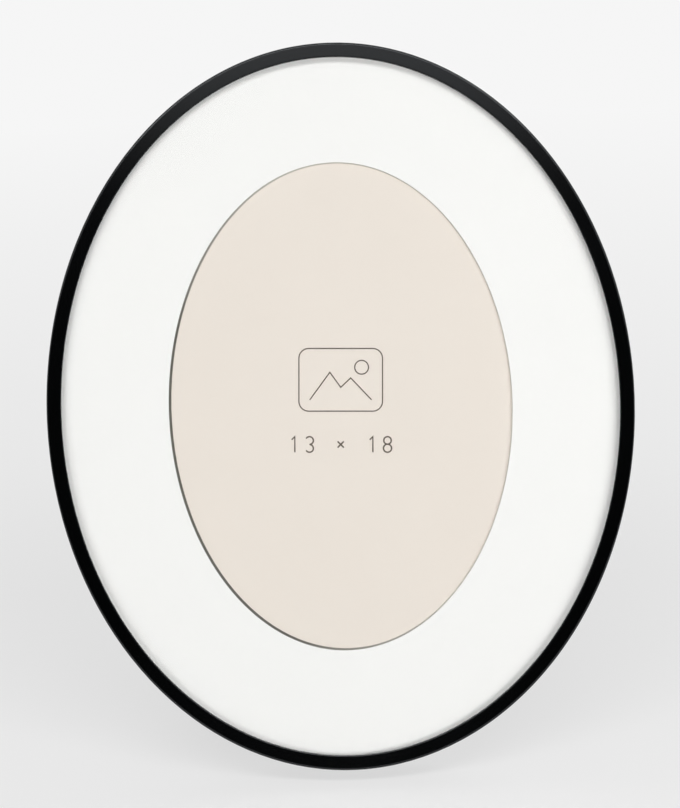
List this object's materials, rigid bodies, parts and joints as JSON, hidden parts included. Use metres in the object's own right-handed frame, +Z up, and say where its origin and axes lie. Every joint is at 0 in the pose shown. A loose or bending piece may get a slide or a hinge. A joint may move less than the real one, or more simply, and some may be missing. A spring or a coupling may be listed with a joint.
{
  "type": "oval picture frame",
  "caption": "Oval table-top and wall picture frame with a thin black rim, glass, a white mat with an oval window, turn buttons, an easel strut and a hanging ring.",
  "frame": {"origin": "bottom centre of the bounding box, on the surface that the rim and the strut's foot stand on", "axes": "front faces -Y and leans back, +Z up, +X to the right as seen from the front"},
  "size_m": [0.2106, 0.0996, 0.2523],
  "materials": {
    "black_lacquer": "satin",
    "clear_glass": "polished",
    "white_mat_board": "matt",
    "cream_paper": "matt",
    "grey_card": "matt",
    "hardboard": "black faced",
    "black_strut_board": "black faced",
    "zinc_steel": "zinc plated"
  },
  "bodies": {
    "frame": {"frame_ring": "black_lacquer", "glass_pane": "clear_glass", "mat_board": "white_mat_board", "photo_insert": "cream_paper", "filler_card": "grey_card", "back_board": "hardboard", "button_rivets": "zinc_steel", "hinge_bracket": "zinc_steel", "bracket_rivets": "zinc_steel", "hinge_pin": "zinc_steel", "hanger_strap": "zinc_steel", "hanger_rivet": "zinc_steel"},
    "strut": {"strut_socket": "zinc_steel", "strut_leg": "black_strut_board", "strut_rivets": "zinc_steel"},
    "hanging_ring": {"hanger_ring": "zinc_steel"},
    "turn_button_right": {"turn_button_right": "zinc_steel"},
    "turn_button_upper_right": {"turn_button_upper_right": "zinc_steel"},
    "turn_button_upper_left": {"turn_button_upper_left": "zinc_steel"},
    "turn_button_left": {"turn_button_left": "zinc_steel"},
    "turn_button_lower_left": {"turn_button_lower_left": "zinc_steel"},
    "turn_button_lower_right": {"turn_button_lower_right": "zinc_steel"}
  },
  "joints": [
    {"name": "strut_fold", "type": "hinge", "parent": "frame", "child": "strut", "pos_m": [0, 0.02528, 0.19184], "axis": [1, 0, 0], "range_deg": [-24, 0]},
    {"name": "hanger_ring_swing", "type": "hinge", "parent": "frame", "child": "hanging_ring", "pos_m": [0, 0.03461, 0.22532], "axis": [1, 0, 0], "range_deg": [-18.62, 161.38]},
    {"name": "turn_right", "type": "hinge", "parent": "frame", "child": "turn_button_right", "pos_m": [0.0888, 0.00023, 0.1261], "axis": [0, 0.9477, -0.3192], "range_deg": [-90, 90]},
    {"name": "turn_upper_right", "type": "hinge", "parent": "frame", "child": "turn_button_upper_right", "pos_m": [0.05329, 0.02925, 0.21225], "axis": [0, 0.9477, -0.3192], "range_deg": [-90, 90]},
    {"name": "turn_upper_left", "type": "hinge", "parent": "frame", "child": "turn_button_upper_left", "pos_m": [-0.05329, 0.02925, 0.21225], "axis": [0, 0.9477, -0.3192], "range_deg": [-90, 90]},
    {"name": "turn_left", "type": "hinge", "parent": "frame", "child": "turn_button_left", "pos_m": [-0.0888, 0.00023, 0.1261], "axis": [0, 0.9477, -0.3192], "range_deg": [-90, 90]},
    {"name": "turn_lower_left", "type": "hinge", "parent": "frame", "child": "turn_button_lower_left", "pos_m": [-0.05329, -0.02879, 0.03996], "axis": [0, 0.9477, -0.3192], "range_deg": [-90, 90]},
    {"name": "turn_lower_right", "type": "hinge", "parent": "frame", "child": "turn_button_lower_right", "pos_m": [0.05329, -0.02879, 0.03996], "axis": [0, 0.9477, -0.3192], "range_deg": [-90, 90]}
  ]
}
